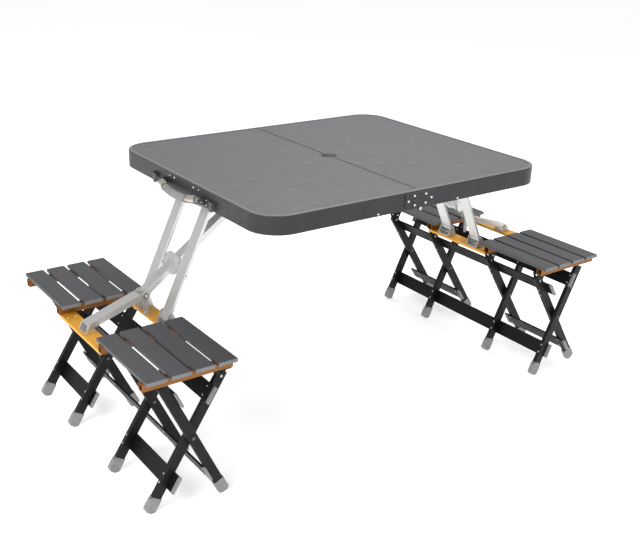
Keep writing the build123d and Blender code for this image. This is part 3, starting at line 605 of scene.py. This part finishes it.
# Hanging tab below the elbow, as (across, up) in millimetres
TAB_OUTLINE = ((7, -9), (7, -46), (4, -50), (-4, -50), (-7, -46), (-7, -9))
TAB_Y = 0.0173
TAB_THICKNESS = 0.0012
TAB_RIVET_DROP = 0.043
TAB_BEVEL = 0.3


def support_fittings(side, out):
    """Rivets on the posts' edges and on the lobes of the oval web."""
    top = pivots[side + "_bench_fold"]
    foot = pivots[side + "_seat_level"]
    down = (foot - top).normalized()
    outward = Vector((down.z, 0, -down.x))
    if outward.x * out < 0:
        outward = -outward
    frame_node = side + "_support_frame"
    piece = Piece(side + "_support_rivets")
    for sign in ENDS:
        for share in POST_RIVETS:
            place = top + (foot - top) * share
            start = (place.x, sign * BESIDE_POSTS, place.z)
            spot = surface(frame_node, start, (0, -sign, 0))
            piece.rivet(spot, (0, sign, 0), radius=2.6, height=1.1)
        for share in WEB_RIVETS:
            place = top + (foot - top) * share + outward * RAY_START
            start = (place.x, sign * WEB_RIVET_Y, place.z)
            spot = surface(frame_node, start, -outward)
            piece.rivet(spot, outward, radius=2.4, height=0.9)
    piece.finish(dull, side + "_support")


def brace_fittings(side):
    """Rivets along the brace's top, the elbow's hanging tabs, and its bolt's washers and caps."""
    elbow = pivots[side + "_brace_fold"]
    direction = -member(side + "_upper_brace")[1]
    upward = Vector((-direction.z, 0, direction.x)) * (1 if direction.x > 0 else -1)
    rivets = Piece(side + "_brace_rivets")
    washers = Piece(side + "_elbow_washers")
    caps = Piece(side + "_elbow_caps")
    tabs = Piece(side + "_elbow_tabs")
    for distance in BRACE_RIVETS:
        start = elbow + direction * distance + upward * RAY_START
        spot = surface(side + "_upper_brace", start, -upward)
        rivets.rivet(spot, upward, radius=2.4, height=0.9)
    for sign in ENDS:
        way = Vector((0, sign, 0))
        head = surface(side + "_brace_pins", elbow + way * RAY_START, -way)
        washers.turned(head, way, WASHER_PROFILE, segments=28)
        caps.turned(head, way, CAP_PROFILE, segments=24)
        origin = elbow + way * TAB_Y
        tabs.prism(TAB_OUTLINE, origin, (1, 0, 0), (0, 0, 1), way, TAB_THICKNESS)
        tabs.turned(origin, way, TAB_RING_PROFILE, segments=28, closed=True)
        rivet_place = origin + way * TAB_THICKNESS - Vector((0, 0, TAB_RIVET_DROP))
        tabs.rivet(rivet_place, way, radius=3.2, height=1.4)
    body = side + "_brace"
    tabs.finish(plated, body, TAB_BEVEL)
    rivets.finish(dull, body)
    washers.finish(dark_plastic, body)
    caps.finish(bright, body)


# ---- Benches ----
SLATS_PER_SEAT = 4
SLAT_WIDTH = 0.048
# Sizes of the slats' caps and the screws, in millimetres, with steps of (depth, inset)
SLAT_CAP_WIDTH = 47.4
SLAT_CAP_HEIGHT = 8.6
SLAT_CAP_CORNER = 1.2
SLAT_CAP_STEPS = ((-0.3, 0.0), (0.9, 0.0), (1.5, 0.6), (1.6, 1.4))
SCREW_PROFILE = ((3.6, -0.2), (3.6, 0.5), (3.0, 1.5), (1.9, 1.9), (1.6, 1.0), (0, 1.0))
SCREWED_SLATS = (1, 2)
SCREW_Y = (0.127, 0.335, -0.127, -0.335)
SCREW_RAY_Z = 0.28
# Rays towards a seat's slats start outside the bench, or between the two seats.
BESIDE_BENCH = 0.5
BETWEEN_SEATS = 0.05

# Rail plugs in millimetres; the rivets' places in metres
PLUG_CORNER = 0.8
RAIL_PLUG_STEPS = ((-6, 1.6), (0, 1.6), (0, 0.1), (1.2, 0.1), (2.0, 0.9))
RAIL_RIVET_OFFSETS = (-0.010, 0.010)
RAIL_RIVET_Y = 0.093
ABOVE_RAIL = 0.01


def slat_lines(side, out):
    """X of each slat's middle line, from the table outwards."""
    low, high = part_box(side + "_seat_slats")
    near, far = sorted((abs(low.x), abs(high.x)))
    pitch = (far - near - SLAT_WIDTH) / (SLATS_PER_SEAT - 1)
    return [out * (near + SLAT_WIDTH / 2 + i * pitch) for i in range(SLATS_PER_SEAT)]


def slat_caps(side, out):
    """Pale moulded caps on both ends of every slat."""
    slats = side + "_seat_slats"
    low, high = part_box(slats)
    middle_z = (low.z + high.z) / 2
    sections = inset_sections(SLAT_CAP_WIDTH, SLAT_CAP_HEIGHT, SLAT_CAP_STEPS)
    piece = Piece(side + "_slat_caps")
    for x in slat_lines(side, out):
        for end in ENDS:
            outer = surface(slats, (x, end * BESIDE_BENCH, middle_z), (0, -end, 0))
            inner = surface(slats, (x, end * BETWEEN_SEATS, middle_z), (0, end, 0))
            for place, way in ((outer, end), (inner, -end)):
                centre = (x, place.y, middle_z)
                piece.block(centre, (1, 0, 0), (0, 0, 1), (0, way, 0), SLAT_CAP_CORNER, sections)
    piece.finish(slat_cap_plastic, side + "_seat_frame")


def bench_fittings(side, out):
    """Rail end plugs, the rivets in the rails' tops and the screws that hold the slats from below."""
    body = side + "_seat_frame"
    plugs = Piece(side + "_rail_plugs")
    rivets = Piece(side + "_rail_rivets")
    screws = Piece(side + "_slat_screws")
    for rail in (side + "_inner_rail", side + "_outer_rail"):
        low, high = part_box(rail)
        middle = (low + high) / 2
        sections = inset_sections((high.x - low.x) / MM, (high.z - low.z) / MM, RAIL_PLUG_STEPS)
        for end in ENDS:
            centre = (middle.x, end * high.y, middle.z)
            plugs.block(centre, (1, 0, 0), (0, 0, 1), (0, end, 0), PLUG_CORNER, sections)
            for offset in RAIL_RIVET_OFFSETS:
                start = (middle.x + offset, end * RAIL_RIVET_Y, high.z + ABOVE_RAIL)
                spot = surface(rail, start, (0, 0, -1))
                rivets.rivet(spot, (0, 0, 1), radius=2.6, height=1.2)
    lines = slat_lines(side, out)
    for i in SCREWED_SLATS:
        for y in SCREW_Y:
            spot = surface(side + "_cross_rails", (lines[i], y, SCREW_RAY_Z), (0, 0, 1))
            screws.turned(spot, (0, 0, -1), SCREW_PROFILE, segments=18)
    plugs.finish(dark_plastic, body)
    rivets.finish(bright, body)
    screws.finish(plated, body)


# ---- Leg sets ----
ROW_GAP = 0.02
# Leg plugs, in millimetres, with steps of (depth, inset)
LEG_PLUG_WIDTH = 12
LEG_PLUG_HEIGHT = 24
LEG_PLUG_STEPS = ((5, 1.6), (0, 1.6), (0, 0.1), (-0.8, 0.1), (-1.5, 0.9))
# Collars round the top of a foot: (depth, growth) in millimetres, and where each one starts
COLLAR_STEPS = ((0, -0.3), (0.3, 0.5), (1.1, 0.8), (1.9, 0.5), (2.2, -0.3))
COLLAR_STARTS = (0.4, 4.2, 8.0)
COLLAR_HEIGHT = 27
COLLAR_CORNER = 3
COLLAR_MARGIN = 0.2

# Points of the stretchers that are this far apart down the legs, or this near, tell their levels
STRETCHER_GAP = 0.045
STRETCHER_REACH = 0.03
# A stretcher end closer to the middle than this is an inner one.
INNER_END_LIMIT = 0.2
STRETCHER_CAP_CORNER = 1.6
# (depth, width, thickness) in millimetres
STRETCHER_CAP = ((-7, 41.4, 6.0), (-0.5, 41.6, 6.2), (1.2, 41.6, 6.2), (2.0, 40.0, 4.8))
STRETCHER_RIVET_OFFSETS = (-0.011, 0.011)


class LegSet:
    """Lines of one leg set: the middle of its legs, their way down and their rows across the bench."""

    def __init__(self, side, kind):
        self.name = f"{side}_{kind}"
        self.legs = self.name + "_legs"
        self.body = self.name + "_leg_set"
        self.middle, self.down, self.half = member(self.legs)
        self.square = Vector((self.down.z, 0, -self.down.x))
        self.rows = cluster([v.co.y for v in nodes[self.legs].data.vertices], ROW_GAP)

    def along(self, point):
        """How far down the legs a point is from their middle."""
        return (point - self.middle).dot(self.down)

    def at(self, distance, y):
        """Point on the legs' middle line, at a distance down from their middle, in the row at y."""
        place = self.middle + self.down * distance
        return Vector((place.x, y, place.z))


def leg_ends(legs):
    """Plugs in the tops of one set's legs and collars round the tops of its feet."""
    plugs = Piece(legs.name + "_leg_plugs")
    collars = Piece(legs.name + "_foot_collars")
    foot_points = [v.co for v in nodes[legs.name + "_leg_feet"].data.vertices]
    foot_top = min(legs.along(point) for point in foot_points)
    first_foot = [p.y for p in foot_points if abs(p.y - legs.rows[0]) < ROW_GAP]
    collar_width = (max(first_foot) - min(first_foot)) / MM - COLLAR_MARGIN
    plug = inset_sections(LEG_PLUG_WIDTH, LEG_PLUG_HEIGHT, LEG_PLUG_STEPS)
    axes = ((0, 1, 0), legs.square, legs.down)
    for y in legs.rows:
        plugs.block(legs.at(-legs.half, y), *axes, PLUG_CORNER, plug)
        for start in COLLAR_STARTS:
            collar = [(start + depth, collar_width, COLLAR_HEIGHT + 2 * grow) for depth, grow in COLLAR_STEPS]
            collars.block(legs.at(foot_top, y), *axes, COLLAR_CORNER, collar)
    plugs.finish(dark_plastic, legs.body)
    collars.finish(foot_plastic, legs.body)


def stretcher_ends(points):
    """Y of each end of the stretchers at one level, with the way that the end faces."""
    ends = {round(p.y, 4) for p in points}
    outer = max(ends)
    stops = [(outer, 1), (-outer, -1)]
    inner = [y for y in ends if 0 < y < INNER_END_LIMIT]
    if inner:
        stops += [(min(inner), -1), (-min(inner), 1)]
    return stops


def stretcher_fittings(legs):
    """End caps of one set's stretchers, and the rivets that hold them to the legs."""
    stretchers = legs.name + "_leg_stretchers"
    caps = Piece(legs.name + "_stretcher_caps")
    rivets = Piece(legs.name + "_leg_rivets")
    points = [v.co for v in nodes[stretchers].data.vertices]
    for level in cluster([legs.along(p) for p in points], STRETCHER_GAP):
        near = [p for p in points if abs(legs.along(p) - level) < STRETCHER_REACH]
        across = [(p - legs.middle).dot(legs.square) for p in near]
        face = (min(across) + max(across)) / 2
        for y, way in stretcher_ends(near):
            centre = legs.at(level, y) + legs.square * face
            caps.block(centre, legs.down, legs.square, (0, way, 0), STRETCHER_CAP_CORNER, STRETCHER_CAP)
        outward = legs.square if face > 0 else -legs.square
        for y in legs.rows:
            for offset in STRETCHER_RIVET_OFFSETS:
                place = legs.at(level + offset, y)
                spot = surface(stretchers, place + outward * RAY_START, -outward)
                rivets.rivet(spot, outward, radius=2.3, height=1.0)
                spot = surface(legs.legs, place - outward * RAY_START, outward)
                rivets.rivet(spot, -outward, radius=2.4, height=0.4)
    caps.finish(cap_plastic, legs.body)
    rivets.finish(plated, legs.body)


# ---- Handle ----
GRIP_PIVOT = pivots["handle_swing"]
# The grip's round ends reach this far past its bowed part.
TRUNNION_REACH = 0.020
GRIP_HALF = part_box("handle_grip")[1].y - TRUNNION_REACH
GRIP_BOW = Vector((-0.013, 0, -0.007))
GRIP_SEGMENTS = 28
# (distance towards the end, radius) in millimetres
SLEEVE_PROFILE = ((0, 9.4), (0.3, 10.1), (1.5, 10.2), (30, 10.2), (31, 9.9), (31.3, 9.4))
BAND_PROFILE = ((0, 9.3), (0.2, 10.6), (2.0, 10.6), (2.2, 9.3))
RIB_PROFILE = ((0, 9.3), (0.4, 9.75), (1.2, 9.75), (1.6, 9.3))
SLEEVE_FROM_END = 0.034
BANDS_FROM_END = (0.0355, 0.0035)
RIBS_PER_SIDE = 8
RIB_PITCH = 0.0055
RIB_OFFSET = 1e-5
MOUNT_RIVET_RISES = (-0.008, 0.004)
MOUNT_EDGE_MARGIN = 0.005


def grip_ring(y, radius):
    """Circle round the grip's bowed centre line, its radius in millimetres."""
    centre = GRIP_PIVOT + GRIP_BOW * (1 - (y / GRIP_HALF) ** 2) + Vector((0, y, 0))
    forward = Vector((0, 1, 0)) - GRIP_BOW * (2 * y / GRIP_HALF**2)
    first, last = axes_for(forward)
    angles = [math.tau * i / GRIP_SEGMENTS for i in range(GRIP_SEGMENTS)]
    return [centre + (first * math.cos(a) + last * math.sin(a)) * radius * MM for a in angles]


def grip_tube(piece, y, profile):
    """Sleeve round the grip from y towards its nearer end."""
    end = 1 if y > 0 else -1
    piece.loft([grip_ring(y + end * step * MM, radius) for step, radius in profile], capped=False)


def handle_fittings():
    """Bright sleeves, dark bands and ribs on the grip, and rivets on its mounts."""
    mount_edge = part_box("handle_mounts")[1].y - MOUNT_EDGE_MARGIN
    sleeves = Piece("handle_sleeves")
    bands = Piece("handle_bands")
    ribs = Piece("handle_ribs")
    rivets = Piece("handle_mount_rivets")
    for end in ENDS:
        grip_tube(sleeves, end * (GRIP_HALF - SLEEVE_FROM_END), SLEEVE_PROFILE)
        for from_end in BANDS_FROM_END:
            grip_tube(bands, end * (GRIP_HALF - from_end), BAND_PROFILE)
        for rise in MOUNT_RIVET_RISES:
            start = (GRIP_PIVOT.x - RAY_START, end * mount_edge, GRIP_PIVOT.z + rise)
            spot = surface("handle_mounts", start, (1, 0, 0))
            rivets.rivet(spot, (-1, 0, 0), radius=2.0, height=0.9)
    for i in range(-RIBS_PER_SIDE, RIBS_PER_SIDE + 1):
        grip_tube(ribs, RIB_PITCH * i + RIB_OFFSET, RIB_PROFILE)
    sleeves.finish(warm_steel, "handle")
    bands.finish(dark_plastic, "handle")
    ribs.finish(grip_rubber, "handle")
    rivets.finish(plated, "left_table_half")


for side, out in SIDES:
    table_border(side, out)
    seam_strip(side, out)
    table_rivets(side, out)
    support_fittings(side, out)
    brace_fittings(side)
    slat_caps(side, out)
    bench_fittings(side, out)
    for kind in ("outer", "inner"):
        legs = LegSet(side, kind)
        leg_ends(legs)
        stretcher_fittings(legs)
handle_fittings()

# ---- Studio ----
FLOOR_SIZE = 80
WORLD_LIGHT = 0.5
WORLD_SEEN = 1.0
# Name, place, target, size and power in watts
LIGHTS = (
    ("key", (-3.4, -1.3, 2.6), (0, 0, 0.4), (2.2, 2.2), 105),
    ("top", (1.5, 0.9, 3.4), (0.1, 0, 0.5), (3.2, 3.2), 68),
    ("front", (1.2, -3.6, 1.6), (0, 0, 0.5), (3, 2), 12),
)
# Camera fitted to the photograph: place in metres, angles in degrees, lens and sensor in millimetres
CAMERA_PLACE = (-1.441, -1.931, 1.293)
CAMERA_AZIMUTH = -36.4
CAMERA_ELEVATION = 22.12
CAMERA_ROLL = 1.71
CAMERA_LENS = 52.27
CAMERA_SENSOR = 36


def floor():
    """Large pale floor at the ground."""
    bpy.ops.mesh.primitive_plane_add(size=FLOOR_SIZE, location=(0, 0, 0))
    ground = bpy.context.object
    ground.name = "studio_floor"
    ground.data.materials.append(pale_floor("studio_floor"))


def surroundings():
    """World that looks white to the camera but lights the object softly."""
    world = bpy.data.worlds.new("studio")
    world.use_nodes = True
    tree = world.node_tree
    seen = tree.nodes.new("ShaderNodeLightPath").outputs["Is Camera Ray"]
    strength = tree.nodes.new("ShaderNodeMapRange")
    strength.inputs["To Min"].default_value = WORLD_LIGHT
    strength.inputs["To Max"].default_value = WORLD_SEEN
    tree.links.new(seen, strength.inputs["Value"])
    background = tree.nodes["Background"]
    background.inputs["Color"].default_value = (1, 1, 1, 1)
    tree.links.new(strength.outputs["Result"], background.inputs["Strength"])
    bpy.context.scene.world = world


def area_light(name, place, target, size, power):
    """Large soft light aimed at a point."""
    data = bpy.data.lights.new(name, "AREA")
    data.shape = "RECTANGLE"
    data.size, data.size_y = size
    data.energy = power
    light = bpy.data.objects.new(name, data)
    light.location = place
    light.rotation_euler = (Vector(target) - Vector(place)).to_track_quat("-Z", "Y").to_euler()
    bpy.context.scene.collection.objects.link(light)


def camera():
    """Camera at the photograph's angle."""
    azimuth = math.radians(CAMERA_AZIMUTH)
    elevation = math.radians(CAMERA_ELEVATION)
    roll = math.radians(CAMERA_ROLL)
    ahead = Vector((-math.sin(azimuth), math.cos(azimuth), 0)) * math.cos(elevation)
    forward = ahead - Vector((0, 0, math.sin(elevation)))
    level = Vector((math.cos(azimuth), math.sin(azimuth), 0))
    upright = level.cross(forward)
    right = level * math.cos(roll) + upright * math.sin(roll)
    up = upright * math.cos(roll) - level * math.sin(roll)
    data = bpy.data.cameras.new("camera")
    data.sensor_width = CAMERA_SENSOR
    data.lens = CAMERA_LENS
    shot = bpy.data.objects.new("camera", data)
    turn = Matrix((right, up, -forward)).transposed().to_4x4()
    shot.matrix_world = Matrix.Translation(CAMERA_PLACE) @ turn
    bpy.context.scene.collection.objects.link(shot)
    bpy.context.scene.camera = shot


floor()
surroundings()
for light in LIGHTS:
    area_light(*light)
camera()
bpy.context.scene.view_settings.view_transform = "Standard"
